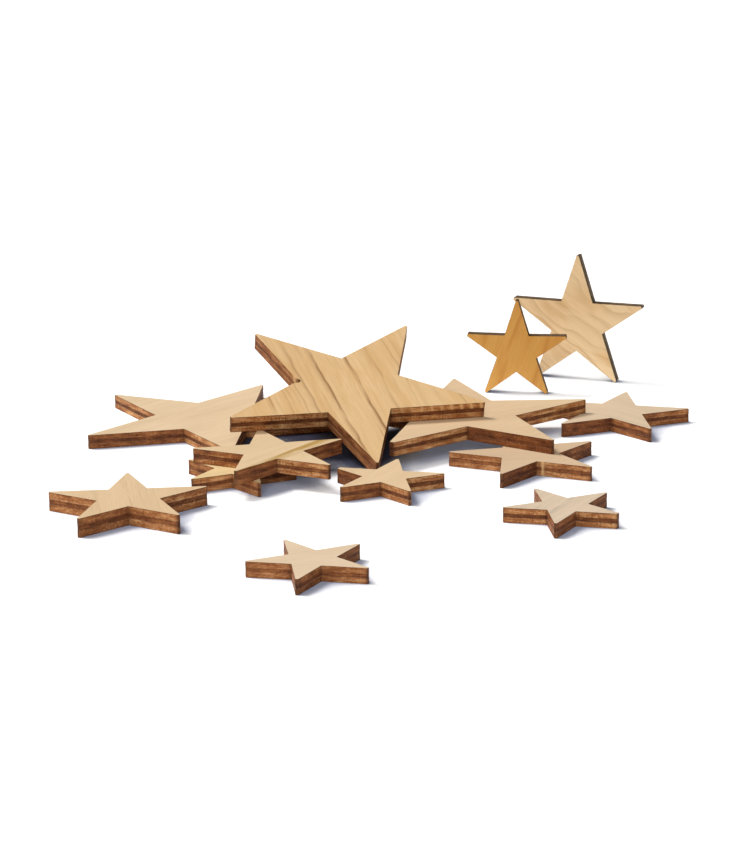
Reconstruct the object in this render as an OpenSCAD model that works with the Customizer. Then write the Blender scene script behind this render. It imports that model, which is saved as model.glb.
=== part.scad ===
// A pile of thirteen loose plywood stars in three sizes, as they lie on a table.
// +Z is up, the table top is z = 0, and the origin is the middle of the pile's footprint.
// Every star is three plies glued face to face: a face ply, a darker core ply and a back ply.

/* [Sheet] */
// Thickness of the plywood that most of the stars are cut from
sheet = 6; // [5.5:0.1:6.2]
// Thickness of the sheet that the one heavier flat star is cut from
heavy_sheet = 7.6; // [6.5:0.1:9]
// Thickness of the sheet that the leaning star is cut from
leaning_sheet = 7.2; // [5.5:0.1:8]
// Thickness of the sheet that the two stars on edge are cut from
standing_sheet = 4.8; // [4:0.1:6.2]
// Share of the thickness that the core ply takes
core_share = 0.24; // [0.15:0.01:0.4]

/* [Stars] */
// Radius from the middle of a large star to its tips
large_r = 56.5; // [54:0.5:57.5]
// Radius from the middle of a medium star to its tips
medium_r = 32; // [28:0.5:33]
// Radius from the middle of a small star to its tips
small_r = 23.5; // [20:0.5:24]
// Radius of the inner corners, as a share of the tip radius
waist = 0.40; // [0.36:0.01:0.44]
// Width of the blunt nose that the cutter leaves on each tip
nose = 1.2; // [0.6:0.1:2]

/* [Pile] */
// Air left between two stars where one rests on the other
rest_gap = 0.05; // [0.02:0.01:0.1]

/* [Hidden] */
ARMS = 5;
HALF_ARM = 180 / ARMS;

// Height of whatever lies on one layer of stars
second_layer = sheet + rest_gap;

// The leaning star stands on its front tip. Its two front inner corners, where the
// side arms begin, are lifted just clear of the second layer.
lean_reach = large_r * (1 - waist * cos(HALF_ARM));
lean = asin((second_layer + sheet + rest_gap) / lean_reach);

// Plies from the back of the sheet to its face: name, where it starts, where it ends, colour.
outer_share = (1 - core_share) / 2;
PLIES = [
    ["back_ply", 0, outer_share, "burlywood"],
    ["core_ply", outer_share, outer_share + core_share, "saddlebrown"],
    ["face_ply", outer_share + core_share, 1, "wheat"]
];

// Stars that lie flat: name, tip radius, thickness, place of the middle, direction of one tip.
FLAT_STARS = [
    ["left_large_star", large_r, sheet, [-77, 60.5, 0], 67.5],
    ["right_large_star", large_r, sheet, [32.5, 41, second_layer], 20],
    ["far_right_medium_star", medium_r, sheet, [99, 64, 0], 4],
    ["propping_medium_star", medium_r, sheet, [57, -1, 0], 31.5],
    ["thick_medium_star", medium_r, heavy_sheet, [-100, -62.5, 0], 23.5],
    ["upper_medium_star", medium_r, sheet, [-46.5, -15, second_layer], 29.5],
    ["lower_small_star", small_r, sheet, [-60, -18.5, 0], 6],
    ["middle_small_star", small_r, sheet, [-1, -31.5, 0], 5.5],
    ["right_small_star", small_r, sheet, [66.5, -72.5, 0], 42],
    ["front_small_star", small_r, sheet, [-28.5, -134, 0], 43]
];

// The star that leans: name, tip radius, thickness, place of its front tip, turn about Z.
LEANING_STARS = [
    ["leaning_large_star", large_r, leaning_sheet, [-4.5, -14, 0], 11.5]
];

// Stars on edge, on two tips: name, tip radius, thickness, place midway below, turn about Z.
STANDING_STARS = [
    ["standing_medium_star", medium_r, standing_sheet, [89, 143.5, 0], -20.5],
    ["standing_small_star", small_r, standing_sheet, [59.5, 119, 0], -8]
];

ALL_STARS = concat(FLAT_STARS, LEANING_STARS, STANDING_STARS);

// A point at a distance out along a direction, and a distance to the left of it
function polar(out, left, angle) = [
    out * cos(angle) - left * sin(angle),
    out * sin(angle) + left * cos(angle)
];

// The three corners of one arm: both ends of its blunt nose, then the inner corner after it
function arm_corners(tip_r, angle) = [
    polar(tip_r, -nose / 2, angle),
    polar(tip_r, nose / 2, angle),
    polar(tip_r * waist, 0, angle + HALF_ARM)
];

// Outline of a five-pointed star with its first tip along +X
module star_outline(tip_r)
    polygon([for (arm = [0 : ARMS - 1]) each arm_corners(tip_r, arm * 2 * HALF_ARM)]);

// One ply of a star that lies with its back on z = 0
module star_ply(tip_r, thickness, ply)
    color(ply[3])
        translate([0, 0, thickness * ply[1]])
            linear_extrude(thickness * (ply[2] - ply[1]))
                star_outline(tip_r);

// A ply of a star that lies flat on the table or on another star
module flat_star_ply(star, ply)
    translate(star[3])
        rotate([0, 0, star[4]])
            star_ply(star[1], star[2], ply);

// A ply of the star that leans back from its front tip
module leaning_star_ply(star, ply)
    translate(star[3])
        rotate([lean, 0, star[4]])
            translate([0, star[1], 0])
                rotate([0, 0, -90])
                    star_ply(star[1], star[2], ply);

// A ply of a star that stands on the noses of its two lower tips, face towards -Y
module standing_star_ply(star, ply)
    translate(star[3])
        rotate([90, 0, star[4]])
            translate([0, star[1] * cos(HALF_ARM) + nose / 2 * sin(HALF_ARM), -star[2] / 2])
                rotate([0, 0, 90])
                    star_ply(star[1], star[2], ply);

for (star = FLAT_STARS, ply = PLIES)
    flat_star_ply(star, ply);

for (star = LEANING_STARS, ply = PLIES)
    leaning_star_ply(star, ply);

for (star = STANDING_STARS, ply = PLIES)
    standing_star_ply(star, ply);
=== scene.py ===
import math
import random

import bmesh
import bpy
from mathutils import Matrix, Vector, noise


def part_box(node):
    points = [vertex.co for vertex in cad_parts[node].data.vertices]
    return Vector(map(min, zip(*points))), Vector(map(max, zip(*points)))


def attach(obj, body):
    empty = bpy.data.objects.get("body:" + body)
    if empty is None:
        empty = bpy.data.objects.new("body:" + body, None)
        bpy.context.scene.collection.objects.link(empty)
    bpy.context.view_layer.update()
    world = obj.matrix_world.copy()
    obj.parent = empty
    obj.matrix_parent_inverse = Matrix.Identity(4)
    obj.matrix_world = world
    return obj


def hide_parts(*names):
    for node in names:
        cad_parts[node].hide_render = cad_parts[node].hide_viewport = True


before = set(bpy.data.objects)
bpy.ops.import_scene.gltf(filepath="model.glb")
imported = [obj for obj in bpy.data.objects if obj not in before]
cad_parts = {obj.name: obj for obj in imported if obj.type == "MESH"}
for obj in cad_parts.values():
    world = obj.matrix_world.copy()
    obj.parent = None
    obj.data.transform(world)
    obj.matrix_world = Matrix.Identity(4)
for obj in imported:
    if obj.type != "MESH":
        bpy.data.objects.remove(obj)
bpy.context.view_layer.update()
scene = bpy.context.scene
MM = 0.001

# ---------------------------------------------------------------- camera
# Seen from the front, a little above: the lens is long and the view tips down.
LENS = 108.3
TIPPED_DOWN = 15.41
ROLLED = -0.45
STANDPOINT = (-0.0070, -0.9964, 0.2935)

camera = bpy.data.objects.new("camera", bpy.data.cameras.new("camera"))
scene.collection.objects.link(camera)
camera.data.sensor_width = 36
camera.data.lens = LENS
camera.data.clip_start = 0.05
camera.matrix_world = (
    Matrix.Translation(STANDPOINT)
    @ Matrix.Rotation(math.radians(90 - TIPPED_DOWN), 4, "X")
    @ Matrix.Rotation(math.radians(ROLLED), 4, "Z")
)
scene.camera = camera
scene.view_settings.view_transform = "Standard"


# ---------------------------------------------------------------- shader helpers
def linear(colour):
    """An sRGB colour of three numbers from 0 to 255, in linear light."""
    return tuple(
        c / 255 / 12.92 if c / 255 <= 0.04045 else ((c / 255 + 0.055) / 1.055) ** 2.4
        for c in colour)


class Nodes:
    """Short hand for building one material's nodes."""

    def __init__(self, name):
        self.material = bpy.data.materials.new(name)
        self.material.use_nodes = True
        self.tree = self.material.node_tree
        self.tree.nodes.clear()

    def add(self, kind, values=(), **settings):
        node = self.tree.nodes.new("ShaderNode" + kind)
        for key, value in settings.items():
            setattr(node, key, value)
        for key, value in dict(values).items():
            self.put(node.inputs[key], value)
        return node

    def put(self, socket, value):
        if isinstance(value, bpy.types.NodeSocket):
            self.tree.links.new(value, socket)
        else:
            socket.default_value = value

    def attribute(self, name):
        return self.add("Attribute", attribute_name=name).outputs["Vector"]

    def parts(self, vector):
        """The three parts of a vector."""
        return self.add("SeparateXYZ", {0: vector}).outputs

    def vector(self, x, y, z=0.0):
        return self.add("CombineXYZ", {0: x, 1: y, 2: z}).outputs[0]

    def scaled(self, vector, scale):
        return self.add("VectorMath", {0: vector, 1: scale}, operation="MULTIPLY").outputs[0]

    def shifted(self, vector, shift):
        return self.add("VectorMath", {0: vector, 1: shift}, operation="ADD").outputs[0]

    def distance(self, a, b):
        return self.add("VectorMath", {0: a, 1: b}, operation="DISTANCE").outputs["Value"]

    def math(self, operation, a, b=0.0, clamp=False):
        return self.add("Math", {0: a, 1: b}, operation=operation, use_clamp=clamp).outputs[0]

    def plus(self, a, b):
        return self.math("ADD", a, b)

    def minus(self, a, b):
        return self.math("SUBTRACT", a, b)

    def times(self, a, b, clamp=False):
        return self.math("MULTIPLY", a, b, clamp)

    def total(self, *terms):
        """The sum of some values, each times its own share."""
        value, share = terms[0]
        result = self.times(value, share)
        for value, share in terms[1:]:
            result = self.plus(result, self.times(value, share))
        return result

    def noise(self, vector, scale=1.0, detail=3.0, roughness=0.5, distortion=0.0):
        node = self.add("TexNoise", {
            "Vector": vector, "Scale": scale, "Detail": detail,
            "Roughness": roughness, "Distortion": distortion})
        return node.outputs["Fac"]

    def sway(self, vector, scale):
        """Slow noise that swings about nought."""
        return self.minus(self.noise(self.scaled(vector, scale), detail=2.0), 0.5)

    def band(self, value, low, high, from_value=0.0, to_value=1.0, smooth=True):
        """From from_value, where value is at low, to to_value, where it is at high."""
        node = self.add("MapRange", {
            "Value": value, "From Min": low, "From Max": high,
            "To Min": from_value, "To Max": to_value},
            interpolation_type="SMOOTHSTEP" if smooth else "LINEAR")
        return node.outputs["Result"]

    def linear_ramp(self, value, stops):
        """Colours in linear light, at places from 0 to 1."""
        node = self.add("ValToRGB", {"Fac": value})
        ramp = node.color_ramp
        while len(ramp.elements) < len(stops):
            ramp.elements.new(1.0)
        for element, (place, colour) in zip(ramp.elements, stops):
            element.position = place
            element.color = (*colour, 1)
        return node.outputs["Color"]

    def ramp(self, value, stops):
        """The same with sRGB colours."""
        return self.linear_ramp(value, [(place, linear(colour)) for place, colour in stops])

    def mix(self, share, a, b):
        node = self.add("Mix", data_type="RGBA")
        for socket, value in ((node.inputs[0], share), (node.inputs[6], a), (node.inputs[7], b)):
            if isinstance(value, tuple):
                value = (*linear(value), 1)
            self.put(socket, value)
        return node.outputs[2]

    def finish(self, colour, roughness, height, strength, distance, specular=0.35, **more):
        bump = self.add("Bump", {"Height": height, "Strength": strength, "Distance": distance})
        shader = self.add("BsdfPrincipled", {
            "Base Color": colour, "Roughness": roughness, "Normal": bump.outputs[0],
            "IOR": 1.45, "Specular IOR Level": specular, **more})
        output = self.add("OutputMaterial")
        self.tree.links.new(shader.outputs[0], output.inputs[0])
        return self.material


# ---------------------------------------------------------------- the looks of each star
# grain: direction of the grain on the face, in degrees from the face's own right.
# face: sRGB of the veneer.
# rings: how strong the year rings show, how far apart they are in mm, and how much they wander.
# lines: single dark lines, as place across the grain in mm, width in mm and strength.
# line_colour: their sRGB.  bend: how much they wander, in mm.
# figure: sRGB, strength and width in mm of broad darker streaks.
# walls: how light (1) or dark (-1) an edge is, partly uneven scorching and partly painted light and shade,
# and how clearly its plies show, by the direction from the star's middle to the middle of that edge.  wall:
# the same for all edges of a star with dull ones.
# step: distance between the points round its outline, in mm.
LOOKS = {
    "left_large_star": dict(
        grain=50, face=(223, 196, 160), rings=(0.22, 6.0, 9),
        lines=[(-9, 3, 0.25), (4, 4, 0.22), (14, 3, 0.2)], line_colour=(196, 166, 132),
        walls={229: (-0.5, 0.4), 266: (0.5, 1.0), 157: (0.3, 1.0), 49: (-0.3, 0.3)}),
    "right_large_star": dict(
        grain=35, face=(215, 186, 149), rings=(0.12, 9.0, 9),
        lines=[(10, 4, 0.2)], line_colour=(200, 168, 128),
        walls={254: (0.3, 1.0), 290: (-0.65, 0.15), 2: (0.25, 1.0)}),
    "leaning_large_star": dict(
        grain=-72, face=(214, 179, 131), rings=(0.07, 3.2, 3), bend=4.5, step=0.6,
        figure=((200, 152, 90), 0.45, 9.0),
        lines=[(-44, 1.0, 0.4), (-36, 1.3, 0.85), (-33.6, 0.8, 0.4), (-29.5, 0.8, 0.55), (-27.3, 0.8, 0.7),
               (-25, 0.8, 0.5), (-23, 0.8, 0.55), (-18.5, 1.7, 0.7), (-13.3, 2.2, 0.45), (-9, 1.7, 1.0),
               (2.0, 1.4, 0.6), (4.7, 2.0, 1.0), (15, 2.4, 0.4), (19.5, 1.2, 0.4), (24.5, 1.0, 0.55),
               (27.8, 1.6, 0.35), (34, 0.9, 0.45), (43.5, 0.8, 0.8), (47.5, 1.0, 0.4)],
        line_colour=(120, 70, 26),
        walls={227: (0.5, 1.0), 264: (0.2, 0.25), 336: (0.4, 1.0), 155: (0.4, 0.4)}),
    "far_right_medium_star": dict(
        grain=-50, face=(211, 187, 158), rings=(0.15, 6.0, 9),
        lines=[(-8, 4, 0.3)], line_colour=(178, 166, 138),
        walls={238: (-1.1, 0.2), 274: (-0.8, 0.5), 346: (-0.3, 0.8)}),
    "propping_medium_star": dict(
        grain=15, face=(206, 178, 145), rings=(0.12, 7.0, 9), step=0.4,
        lines=[(-6, 3, 0.25)], line_colour=(196, 172, 136),
        walls={193: (0.4, 0.5), 265: (-1.2, 0.2), 301: (0.45, 0.6), 13: (-0.6, 0.3)}),
    "thick_medium_star": dict(
        grain=-81, face=(218, 188, 149), rings=(0.10, 11.0, 6),
        lines=[(-12, 3, 0.35), (0.5, 0.8, 0.7), (5.5, 0.8, 0.35), (11, 2, 0.25)],
        line_colour=(172, 140, 98),
        walls={185: (0.4, 0.6), 257: (-0.2, 0.5), 293: (0.4, 0.6), 5: (0.0, 0.9)}),
    "upper_medium_star": dict(
        grain=55, face=(221, 193, 154), rings=(0.08, 8.0, 9), bend=1.5,
        lines=[(-7.2, 5.0, 1.6), (-1.5, 1.4, 0.5)], line_colour=(180, 142, 76),
        walls={191: (-0.1, 0.8), 263: (-0.5, 0.3), 299: (0.4, 0.8), 11: (-0.5, 0.3)}),
    "lower_small_star": dict(
        grain=25, face=(224, 196, 146), rings=(0.30, 3.0, 5),
        lines=[(-4, 1.5, 0.5)], line_colour=(176, 138, 84),
        walls={168: (0.0, 0.6), 240: (0.4, 1.0)}),
    "middle_small_star": dict(
        grain=65, face=(219, 190, 152), rings=(0.08, 7.0, 6),
        lines=[(3, 2, 0.2)], line_colour=(196, 168, 126),
        walls={167: (-1.0, 0.2), 239: (-0.5, 0.6), 275: (0.1, 0.8), 347: (0.1, 1.0)}),
    "right_small_star": dict(
        grain=61, face=(213, 191, 165), rings=(0.22, 4.0, 6),
        lines=[(-6.5, 1.4, 0.4), (0.9, 3.0, 0.75), (7.5, 2.5, 0.6), (13, 2.0, 0.6)],
        line_colour=(168, 160, 142),
        walls={204: (0.1, 1.0), 240: (-0.1, 0.1), 276: (0.0, 0.25), 312: (0.3, 1.0), 24: (-0.4, 0.2)}),
    "front_small_star": dict(
        grain=15, face=(219, 195, 165), rings=(0.08, 6.0, 8),
        lines=[(2, 3, 0.15)], line_colour=(198, 172, 136),
        walls={205: (0.3, 0.35), 241: (-0.1, 0.2), 277: (0.0, 0.25), 313: (0.3, 0.4), 25: (-0.3, 0.4)}),
    "standing_medium_star": dict(
        grain=-38, face=(226, 196, 152), rings=(0.40, 7.0, 20), bend=8.0,
        figure=((204, 156, 96), 0.55, 11.0),
        lines=[(-14, 2.2, 0.7), (-9.5, 1.2, 0.7), (3.5, 0.8, 0.4), (8.5, 0.8, 0.35)],
        line_colour=(160, 116, 62), wall=(-0.9, 0.0)),
    "standing_small_star": dict(
        grain=72, face=(208, 153, 74), rings=(0.18, 4.0, 4),
        figure=((190, 120, 46), 0.5, 7.0),
        lines=[(-11, 3.5, 0.7), (3.5, 3, 0.75), (15, 2.5, 0.5)],
        line_colour=(180, 112, 42), wall=(-0.8, 0.0)),
}
# bend and step of the stars that name none.
BEND = 3.5
STEP = 0.8

# A colour ramp has room for this many single lines, over this distance in mm either side of the middle.
LINES_PER_RAMP = 7
REACH = 60.0
# The stops of a ramp stay at least this far apart.
SMALLEST_STEP = 0.0005
# A single line across its width: how far from its darkest place, in widths, and how dark it is there.
LINE_PROFILE = ((-2.2, 0.0), (-0.6, 0.35), (0.0, 1.0), (0.25, 0.0))


def line_mask(nodes, across, lines):
    """How dark the single lines are at a place across the grain: a slow rise and a sharp end."""
    stops = [(0.0, (0.0, 0.0, 0.0))]
    for place, width, strength in lines:
        for away, share in LINE_PROFILE:
            at = (place + away * width + REACH) / (2 * REACH)
            stops.append((max(stops[-1][0] + SMALLEST_STEP, at), (share * strength,) * 3))
    return nodes.linear_ramp(nodes.band(across, -REACH, REACH, smooth=False), stops)


def single_lines(nodes, look, across, seeded):
    """All the single lines of a face, each a little uneven along its length."""
    shaken = nodes.plus(across, nodes.times(nodes.sway(seeded, (0.045, 0.022, 0.02)), look.get("bend", BEND)))
    patchy = nodes.band(nodes.noise(nodes.scaled(seeded, (0.035, 0.4, 0.2))), 0.34, 0.60, 0.2, 1.0)
    lines = look["lines"]
    masks = [
        line_mask(nodes, shaken, lines[first:first + LINES_PER_RAMP])
        for first in range(0, len(lines), LINES_PER_RAMP)]
    line = masks[0]
    for mask in masks[1:]:
        line = nodes.math("MAXIMUM", line, mask)
    return nodes.times(line, patchy)


def year_rings(nodes, rings, across, seeded, order):
    """The wood darkens slowly and ends sharply, ring after ring."""
    spacing, wander = rings[1:]
    bent = nodes.plus(across, nodes.times(nodes.sway(seeded, (0.020, 0.035, 0.02)), 2.0 * wander))
    uneven = nodes.noise(nodes.vector(nodes.times(bent, 0.5 / spacing), 7.7 * order), detail=1.0)
    turns = nodes.total((bent, 1.0 / spacing), (uneven, 1.6))
    ring = nodes.math("POWER", nodes.math("FRACT", turns), 3.0)
    faded = nodes.noise(nodes.scaled(seeded, (0.02, 0.2, 0.1)), detail=2.0)
    return nodes.times(ring, nodes.band(faded, 0.3, 0.65))


def face_material(star, look, order):
    """Sanded veneer: year rings, single dark lines, fine fibres and short pores along the grain."""
    nodes = Nodes(f"{star}_veneer")
    grain = nodes.attribute("grain")
    across = nodes.parts(grain)[1]
    seeded = nodes.shifted(grain, (37.0 * order, 91.0 * order, 13.0 * order))
    ring = year_rings(nodes, look["rings"], across, seeded, order)
    line = single_lines(nodes, look, across, seeded)
    fibre = nodes.noise(nodes.scaled(seeded, (0.07, 2.4, 1.2)), detail=4.0, roughness=0.6)
    pores = nodes.noise(nodes.scaled(seeded, (0.22, 4.5, 2.0)), detail=2.0)
    cloud = nodes.noise(nodes.scaled(seeded, (0.02, 0.07, 0.05)), detail=2.0)

    face = look["face"]
    line_colour = look["line_colour"]
    pale = tuple(min(255, c + 7) for c in face)
    shade = (face[0] - 22, face[1] - 28, face[2] - 32)
    dark = (face[0] - 60, face[1] - 72, face[2] - 76)
    warm = tuple(0.5 * f + 0.5 * c for f, c in zip(face, line_colour))
    colour = nodes.ramp(cloud, [(0.35, face), (0.65, pale)])
    if "figure" in look:
        tint, share, width = look["figure"]
        streaks = nodes.scaled(seeded, (0.025, 1.0 / width, 0.05))
        broad = nodes.noise(streaks, detail=2.0, distortion=0.6)
        colour = nodes.mix(nodes.times(nodes.band(broad, 0.42, 0.68), share), colour, tint)
    colour = nodes.mix(nodes.times(ring, look["rings"][0]), colour, line_colour)
    colour = nodes.mix(nodes.times(line, 0.8, clamp=True), colour, warm)
    colour = nodes.mix(nodes.math("POWER", line, 2.2, clamp=True), colour, line_colour)
    colour = nodes.mix(nodes.times(nodes.band(fibre, 0.42, 0.72), 0.28), colour, shade)
    colour = nodes.mix(nodes.times(nodes.band(pores, 0.64, 0.74), 0.30), colour, dark)
    height = nodes.total((fibre, 0.6), (pores, -0.4), (line, -0.4))
    return nodes.finish(colour, nodes.band(fibre, 0.3, 0.7, 0.50, 0.66), height, 0.18, 0.2 * MM)


# sRGB of scorched wood, also painted as shade in the splinter's hollow, and of wood that the cutter has left
# bare.
SCORCH_AND_SHADE = (58, 31, 15)
BARE_WOOD = (226, 182, 126)
# Dark lines along an edge: height as a share of the sheet, half width as a share of it, and strength.
# The two in the middle are the glue, and the other two the scorched rims.
EDGE_LINES = ((1.0, 0.05, 0.8), (0.62, 0.028, 0.75), (0.38, 0.028, 0.75), (0.0, 0.04, 0.7))


def wall_material(name, clear_colours, plain_colours, core):
    """The scorched, fibrous edge of one ply, with dark glue lines above and below it."""
    nodes = Nodes(name)
    grain = nodes.attribute("grain")
    along, depth, burn_and_shade = nodes.parts(nodes.attribute("wall"))
    tone, clear, pale = nodes.parts(nodes.attribute("tone"))
    # The core ply's grain runs across that of the outer plies.
    coarse = (1.3, 0.09, 1.6) if core else (0.09, 1.3, 1.6)
    close = (4.5, 0.5, 5.5) if core else (0.5, 4.5, 5.5)
    streak = nodes.noise(nodes.scaled(grain, coarse), roughness=0.55)
    fine = nodes.noise(nodes.scaled(grain, close), roughness=0.6)
    patch = nodes.noise(nodes.scaled(grain, (0.16, 0.16, 0.3)), detail=2.0)
    strokes = nodes.noise(nodes.vector(nodes.times(along, 1.5), nodes.times(depth, 0.8)))
    bands = nodes.noise(nodes.vector(nodes.times(along, 0.14), nodes.times(depth, 7.0)), detail=2.0)
    # tone makes each edge lighter or darker: partly uneven scorching, partly painted light and shade.
    mixed = nodes.total((streak, 0.30), (fine, 0.14), (patch, 0.28), (bands, 0.28), (tone, 0.07))
    colour = nodes.ramp(mixed, list(zip((0.36, 0.50, 0.64), clear_colours)))
    colour = nodes.mix(nodes.times(nodes.band(strokes, 0.50, 0.72), 0.45), colour, clear_colours[0])
    # Where the plies show badly, the whole edge is scorched to the same few browns.
    plain = nodes.ramp(mixed, list(zip((0.36, 0.50, 0.62), plain_colours)))
    colour = nodes.mix(nodes.band(clear, 0.0, 1.0, 0.9, 0.0, smooth=False), colour, plain)
    level = nodes.plus(depth, nodes.times(nodes.sway(grain, (0.5, 0.5, 0.1)), 0.05))
    shown = nodes.band(clear, 0.0, 1.0, 0.35, 1.0, smooth=False)
    for centre, half, strength in EDGE_LINES:
        away = nodes.math("ABSOLUTE", nodes.minus(level, centre))
        line = nodes.band(away, half, 0.25 * half, 0.0, strength)
        colour = nodes.mix(nodes.times(line, shown), colour, SCORCH_AND_SHADE)
    # Scorch on the noses and close to the corners, and painted shade in the splinter's hollow.
    colour = nodes.mix(nodes.times(burn_and_shade, 0.7, clamp=True), colour, SCORCH_AND_SHADE)
    colour = nodes.mix(pale, colour, BARE_WOOD)
    rough = nodes.band(fine, 0.3, 0.7, 0.55, 0.8)
    return nodes.finish(colour, rough, nodes.plus(fine, strokes), 0.45, 0.3 * MM, specular=0.25)


# The browns of an edge whose plies show badly, from dark to light.
REDDISH = ((83, 41, 18), (130, 75, 39), (166, 103, 58))
GREYISH = ((70, 56, 42), (98, 80, 58), (130, 106, 78))
OUTER_WALL = wall_material("outer_ply_edge", ((98, 52, 22), (166, 105, 58), (222, 172, 117)), REDDISH, False)
CORE_WALL = wall_material("core_ply_edge", ((57, 26, 9), (100, 53, 22), (147, 90, 47)), REDDISH, True)
DULL_OUTER_WALL = wall_material(
    "dull_outer_ply_edge", ((90, 70, 50), (120, 92, 62), (150, 120, 84)), GREYISH, False)
DULL_CORE_WALL = wall_material(
    "dull_core_ply_edge", ((56, 40, 28), (76, 56, 38), (100, 76, 52)), GREYISH, True)


# ---------------------------------------------------------------- marks on single edges and tips
# Edges are named by the star and the direction from its middle to the middle of the edge.
SCALLOPED = ("leaning_large_star", 336)
TORN = ("leaning_large_star", 155)
FLECKED = ("propping_medium_star", 301)
# Where a splinter has come off the face ply at an inner corner: star, direction, reach and depth in mm. Its
# hollow is painted dark as shade.
CHIP_STAR, CHIP_DIRECTION, CHIP_REACH, CHIP_DEPTH = "leaning_large_star", 173.5, 1.9, 1.3
# Tips cut a little short: the direction of the tip, and how much in mm.
SHORT_TIPS = {
    "right_small_star": (330, 0.9), "middle_small_star": (149.5, 1.8),
    "right_large_star": (236, 1.4), "left_large_star": (355.5, 1.2)}
# Radius of the inner corners as a share of the tips', and a share that parts the two kinds of corner.
WAIST = 0.40
BETWEEN = 0.7


def lies_towards(at, direction, margin=12):
    """Whether a point lies within margin degrees of a direction from the star's middle."""
    angle = math.degrees(math.atan2(at.y, at.x))
    return abs((angle - direction + 180) % 360 - 180) < margin


def edge_shade_and_tone(look, at, chance):
    """How light an edge is, partly uneven scorching and partly painted light and shade, and how clearly its
    plies show.
    """
    guess = look.get("wall", (chance.uniform(-0.5, 0.5), chance.uniform(0.3, 1.0)))
    for direction, tone in look.get("walls", {}).items():
        if lies_towards(at, direction):
            return tone
    return guess


def pale_spot(star, ply, at, share, level):
    """Pale wood left by the cutter: scallops along one edge, a chip's torn side and a fleck on others.

    at is the middle of the edge, share how far along it and level how far up the ply this is.
    """
    if (star, ply) == (SCALLOPED[0], "face_ply") and lies_towards(at, SCALLOPED[1]):
        blob = max(0.0, math.sin((share * 9.5 + level * 0.22) * 2 * math.pi)) ** 2
        return 0.95 * blob * math.sin(math.pi * min(1.0, level)) ** 0.5 * (0.45 + 0.55 * share)
    if (star, ply) == (TORN[0], "face_ply") and lies_towards(at, TORN[1]):
        return 0.95 * math.exp(-((share - 0.92) / 0.035) ** 2)
    if star == FLECKED[0] and lies_towards(at, FLECKED[1]):
        return 0.9 * math.exp(-((share - 0.11) / 0.02) ** 2)
    return 0.0


def chip_depth(star, ply, at, tip_r):
    """How deep the lost splinter reaches into the ply here, as a share of its greatest depth."""
    if (star, ply) != (CHIP_STAR, "face_ply") or not lies_towards(at, CHIP_DIRECTION, 25):
        return 0.0
    direction = math.radians(CHIP_DIRECTION)
    corner = Vector((math.cos(direction), math.sin(direction))) * WAIST * tip_r
    return max(0.0, 1 - ((at - corner).length / (CHIP_REACH * MM)) ** 2)


def shorten_tip(corners, tip_r, direction, length):
    """Slide the two corners of one tip's nose back along the edges that run to it."""
    for i, corner in enumerate(corners):
        if corner.length < BETWEEN * tip_r or not lies_towards(corner, direction, 5):
            continue
        for side in (corners[i - 1], corners[(i + 1) % len(corners)]):
            if side.length < BETWEEN * tip_r:
                share = length * MM / (corner.length - side.length * math.cos(math.pi / 5))
                corners[i] = corner + (side - corner) * share
                break


# ---------------------------------------------------------------- one ply
# In mm: the eased rim of the sheet, how far each ply's cut lies inside the outline, and how rough it is.
EASE = 0.14
RECESS = {"back_ply": 0.04, "core_ply": 0.10, "face_ply": 0.04}
ROUGHNESS = 0.09
# Heights in each ply that the cut is modelled at.
LEVELS = 7


def corners_of(node, axes):
    """The ply's outline as corners in the star's own plane, anticlockwise, and its two heights."""
    centre, right, up, normal, _ = axes
    found, heights = {}, []
    for vertex in node.data.vertices:
        away = vertex.co - centre
        flat = Vector((away.dot(right), away.dot(up)))
        found[(round(flat.x, 6), round(flat.y, 6))] = flat
        heights.append(away.dot(normal))
    ordered = sorted(found.values(), key=lambda p: math.atan2(p.y, p.x))
    return ordered, min(heights), max(heights)


def points_round(star, ply, corners, tip_r, look, order):
    """Points round the outline, each with all that its column of the cut needs, and its whole length."""
    chance = random.Random(order)
    points, walked = [], 0.0
    for i, corner in enumerate(corners):
        edge = corners[(i + 1) % len(corners)] - corner
        halfway = corner + edge / 2
        steps = max(2, round(edge.length / (look.get("step", STEP) * MM)))
        outward = Vector((edge.y, -edge.x)).normalized()
        is_nose = edge.length < 0.1 * tip_r
        tone = edge_shade_and_tone(look, halfway, chance)
        for k in range(steps):
            share = k / steps
            at = corner + edge * share
            to_corner = min(share, 1 - share) * edge.length / MM
            bite = chip_depth(star, ply, at, tip_r)
            pale = [pale_spot(star, ply, halfway, share, level / (LEVELS - 1)) for level in range(LEVELS)]
            points.append(dict(
                at=at, out=outward, along=walked + share * edge.length / MM, bite=bite, tone=tone, pale=pale,
                # Scorch is darkest on the noses and near the corners; where the splinter has come off, the
                # darkening is painted shade.
                burn_and_shade=1.0 if is_nose else max(0.6 * math.exp(-to_corner / 0.8), 1.4 * bite),
                is_corner=k == 0, is_inner=k == 0 and corner.length < BETWEEN * tip_r))
        walked += edge.length / MM
    for i, point in enumerate(points):
        if point["is_corner"]:
            point["out"] = (point["out"] + points[i - 1]["out"]).normalized()
    return points, walked


def levels_through(ply, low, high):
    """Heights through a ply, and how much of the sheet's eased rim each has."""
    ease = EASE * MM
    levels = [(low, 0.5 if ply == "back_ply" else 0.0), (low + ease, 0.0)]
    levels += [(low + (high - low) * k / 4, 0.0) for k in range(1, 4)]
    levels += [(high - ease, 0.0), (high, 0.5 if ply == "face_ply" else 0.0)]
    return levels


def inset_at(ply, point, height, eased, order):
    """How far inside the outline the cut lies at one height of one point."""
    sample = Vector((point["along"] * 0.45, height / MM * 0.9, order * 11.3))
    rough = 0.5 + 0.5 * noise.noise(sample) + 0.35 * noise.noise(sample * 3.1)
    torn = CHIP_DEPTH * point["bite"] * (1 + 0.4 * noise.noise(sample * 5.0))
    return (RECESS[ply] + ROUGHNESS * max(0.0, rough) + eased * EASE + torn) * MM


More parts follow.
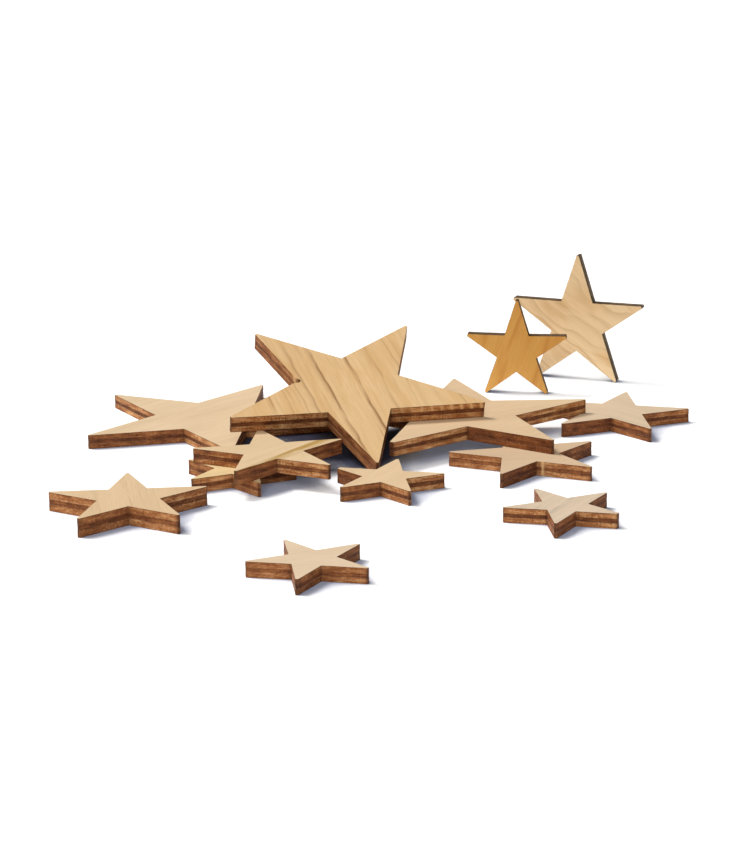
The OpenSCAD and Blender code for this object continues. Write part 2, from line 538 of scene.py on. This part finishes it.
def add_cap(mesh, row, points, facing_up):
    """One flat side: a strip across every arm, and one plate between the inner corners."""
    def add(corners):
        mesh.faces.new(corners if facing_up else corners[::-1])

    inner = [i for i, point in enumerate(points) if point["is_inner"]]
    add([row[i] for i in inner])
    for first, last in zip(inner, inner[1:] + inner[:1]):
        arm = [row[(first + k) % len(row)] for k in range((last - first) % len(row) + 1)]
        while len(arm) > 3:
            add([arm[0], arm[1], arm[-2], arm[-1]])
            arm = arm[1:-1]
        if len(arm) == 3:
            add(arm)


def add_walls(mesh, rows, points, length, levels, thickness):
    """The cut edge all round, with what its material reads."""
    wall_layer = mesh.loops.layers.float_vector["wall"]
    tone_layer = mesh.loops.layers.float_vector["tone"]
    for level, (row, row_above) in enumerate(zip(rows, rows[1:])):
        for i, point in enumerate(points):
            j = (i + 1) % len(points)
            face = mesh.faces.new((row[i], row[j], row_above[j], row_above[i]))
            face.material_index = 1
            face.smooth = True
            for loop in face.loops:
                upper = loop.vert in (row_above[i], row_above[j])
                later = loop.vert in (row[j], row_above[j])
                here = points[j] if later else point
                along = length if later and j == 0 else here["along"]
                at_level = level + 1 if upper else level
                loop[wall_layer] = (along, levels[at_level][0] / thickness, here["burn_and_shade"])
                loop[tone_layer] = (*point["tone"], here["pale"][at_level])


def sharpen(mesh, rows, points):
    """Sharp rims, and sharp upright edges at the corners of the outline."""
    for edge in mesh.edges:
        if not all(face.smooth for face in edge.link_faces):
            edge.smooth = False
    for i, point in enumerate(points):
        if point["is_corner"]:
            for row, row_above in zip(rows, rows[1:]):
                mesh.edges.get((row[i], row_above[i])).smooth = False


def build_ply(star, ply, axes, look, veneer, order):
    """One ply in place of its CAD node: the same outline, cut a little roughly and eased at the rim."""
    node = f"{star}_{ply}"
    centre, right, up, normal, thickness = axes
    corners, low, high = corners_of(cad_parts[node], axes)
    tip_r = max(corner.length for corner in corners)
    if star in SHORT_TIPS:
        shorten_tip(corners, tip_r, *SHORT_TIPS[star])
    points, length = points_round(star, ply, corners, tip_r, look, order)
    levels = levels_through(ply, low, high)
    turn = math.radians(look["grain"])
    grain = Vector((math.cos(turn), math.sin(turn)))
    across = Vector((-grain.y, grain.x))

    mesh = bmesh.new()
    mesh.loops.layers.float_vector.new("wall")
    mesh.loops.layers.float_vector.new("tone")
    grain_layer = mesh.verts.layers.float_vector.new("grain")
    rows = []
    for height, eased in levels:
        row = []
        for point in points:
            flat = point["at"] - point["out"] * inset_at(ply, point, height, eased, order)
            vertex = mesh.verts.new(centre + right * flat.x + up * flat.y + normal * height)
            vertex[grain_layer] = Vector((flat.dot(grain), flat.dot(across), height)) / MM
            row.append(vertex)
        rows.append(row)
    add_cap(mesh, rows[0], points, facing_up=False)
    add_cap(mesh, rows[-1], points, facing_up=True)
    add_walls(mesh, rows, points, length, levels, thickness)
    sharpen(mesh, rows, points)

    data = bpy.data.meshes.new(f"{node}_cut")
    mesh.to_mesh(data)
    mesh.free()
    outer, core = (DULL_OUTER_WALL, DULL_CORE_WALL) if "wall" in look else (OUTER_WALL, CORE_WALL)
    # The core ply's flat sides show only in the splinter's hollow; the dark core edge material there is
    # painted shade.
    data.materials.append(core if ply == "core_ply" else veneer)
    data.materials.append(core if ply == "core_ply" else outer)
    piece = bpy.data.objects.new(f"{node}_cut", data)
    scene.collection.objects.link(piece)
    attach(piece, star)
    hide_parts(node)


def middle(node):
    """The middle of a ply's corners."""
    corners = {tuple(round(c, 7) for c in v.co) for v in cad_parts[node].data.vertices}
    return sum((Vector(c) for c in corners), Vector()) / len(corners)


def star_axes(star):
    """A star's own frame, from its plies: middle of its back, right, up and normal, and its thickness."""
    back, face = f"{star}_back_ply", f"{star}_face_ply"
    inside = middle(back)
    normal = (middle(face) - inside).normalized()
    right = (Vector((1, 0, 0)) - normal * normal.x).normalized()
    bottom = min((v.co - inside).dot(normal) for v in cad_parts[back].data.vertices)
    top = max((v.co - inside).dot(normal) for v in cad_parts[face].data.vertices)
    return inside + normal * bottom, right, normal.cross(right), normal, top - bottom


for order, (star, look) in enumerate(LOOKS.items(), start=1):
    veneer = face_material(star, look, order)
    axes = star_axes(star)
    for ply in RECESS:
        build_ply(star, ply, axes, look, veneer, order)


# ---------------------------------------------------------------- floor and light
# The pale floor, and the shade painted into its colour close to a star and in the hollow under the leaning
# star.
OPEN_FLOOR = ((250, 250, 251), (253, 253, 254))
SOFT_SHADE = (120, 128, 154)
DEEP_SHADE = (50, 52, 72)
# Two places in the hollow, as shares of the leaning star's box, and where their shade ends and is full.
HOLLOWS = (((0.34, 0.46), 0.049, 0.034), ((0.72, 0.64), 0.020, 0.008))
# Where most of the light comes from, as the floor's painted contact shade sees it.
TOWARDS_KEY = Vector((-0.72, 0.12, 0.68)).normalized()
GIVEN_BACK = 0.22


def hollow_shade(nodes):
    """Painted shade: little light is thrown back in the hollow under the leaning star, so its floor's colour
    is painted deep in shade.
    """
    low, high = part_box("leaning_large_star_back_ply")
    place = nodes.add("NewGeometry").outputs["Position"]
    near = []
    for (right, back), ends, full in HOLLOWS:
        at = (low[0] + right * (high[0] - low[0]), low[1] + back * (high[1] - low[1]), 0)
        near.append(nodes.band(nodes.distance(place, at), ends, full))
    hidden = nodes.add("AmbientOcclusion", {"Distance": 50 * MM}, samples=16).outputs["AO"]
    return nodes.times(nodes.band(hidden, 0.80, 0.42), nodes.math("MAXIMUM", *near))


def contact_shade(nodes):
    """Soft shade painted into the floor's colour close to whatever stands between the floor and the light."""
    contact = nodes.add(
        "AmbientOcclusion", {"Distance": 14 * MM, "Normal": nodes.vector(*TOWARDS_KEY)}, samples=16)
    return nodes.times(nodes.band(contact.outputs["AO"], 0.86, 0.44), 0.88)


def floor_material():
    """A bright table that glows a little, giving back more light than falls on it, except in the hollow,
    where its colour is painted dark.
    """
    nodes = Nodes("floor")
    speckle = nodes.noise(nodes.add("TexCoord").outputs["Object"], scale=30.0)
    deep = hollow_shade(nodes)
    colour = nodes.ramp(speckle, list(zip((0.0, 1.0), OPEN_FLOOR)))
    # Painted shade: the floor's colour goes darker and bluer close to the stars.
    colour = nodes.mix(contact_shade(nodes), colour, SOFT_SHADE)
    # Painted deep shade in the hollow, where the floor's glow also goes.
    colour = nodes.mix(deep, colour, DEEP_SHADE)
    glow = nodes.times(nodes.minus(1.0, deep), GIVEN_BACK)
    return nodes.finish(
        colour, 0.9, speckle, 0.0, 0.1 * MM, **{"Emission Color": colour, "Emission Strength": glow})


floor_mesh = bpy.data.meshes.new("floor")
floor_mesh.from_pydata([(-6, -3, 0), (6, -3, 0), (6, 9, 0), (-6, 9, 0)], [], [(0, 1, 2, 3)])
floor_mesh.materials.append(floor_material())
floor = bpy.data.objects.new("floor", floor_mesh)
scene.collection.objects.link(floor)

world = bpy.data.worlds.new("studio")
scene.world = world
world.use_nodes = True
sky = world.node_tree.nodes["Background"].inputs
sky["Color"].default_value = (0.80, 0.88, 1.0, 1)
sky["Strength"].default_value = 0.08


def soft_light(name, azimuth, elevation, softness, floor_share, colour):
    """A wide, even light from a direction. Azimuth 0 is the front and -90 the left."""
    data = bpy.data.lights.new(name, "SUN")
    a, e = math.radians(azimuth), math.radians(elevation)
    towards = Vector((math.sin(a) * math.cos(e), -math.cos(a) * math.cos(e), math.sin(e)))
    data.energy = floor_share * math.pi / math.sin(e)
    data.angle = math.radians(softness)
    data.color = colour
    lamp = bpy.data.objects.new(name, data)
    scene.collection.objects.link(lamp)
    lamp.rotation_euler = towards.to_track_quat("Z", "Y").to_euler()


soft_light("key", -110, 56, 20, 0.66, (1.0, 0.98, 0.95))
soft_light("front", -8, 36, 30, 0.30, (1.0, 0.99, 0.97))
soft_light("top", -40, 84, 60, 0.12, (0.92, 0.96, 1.0))
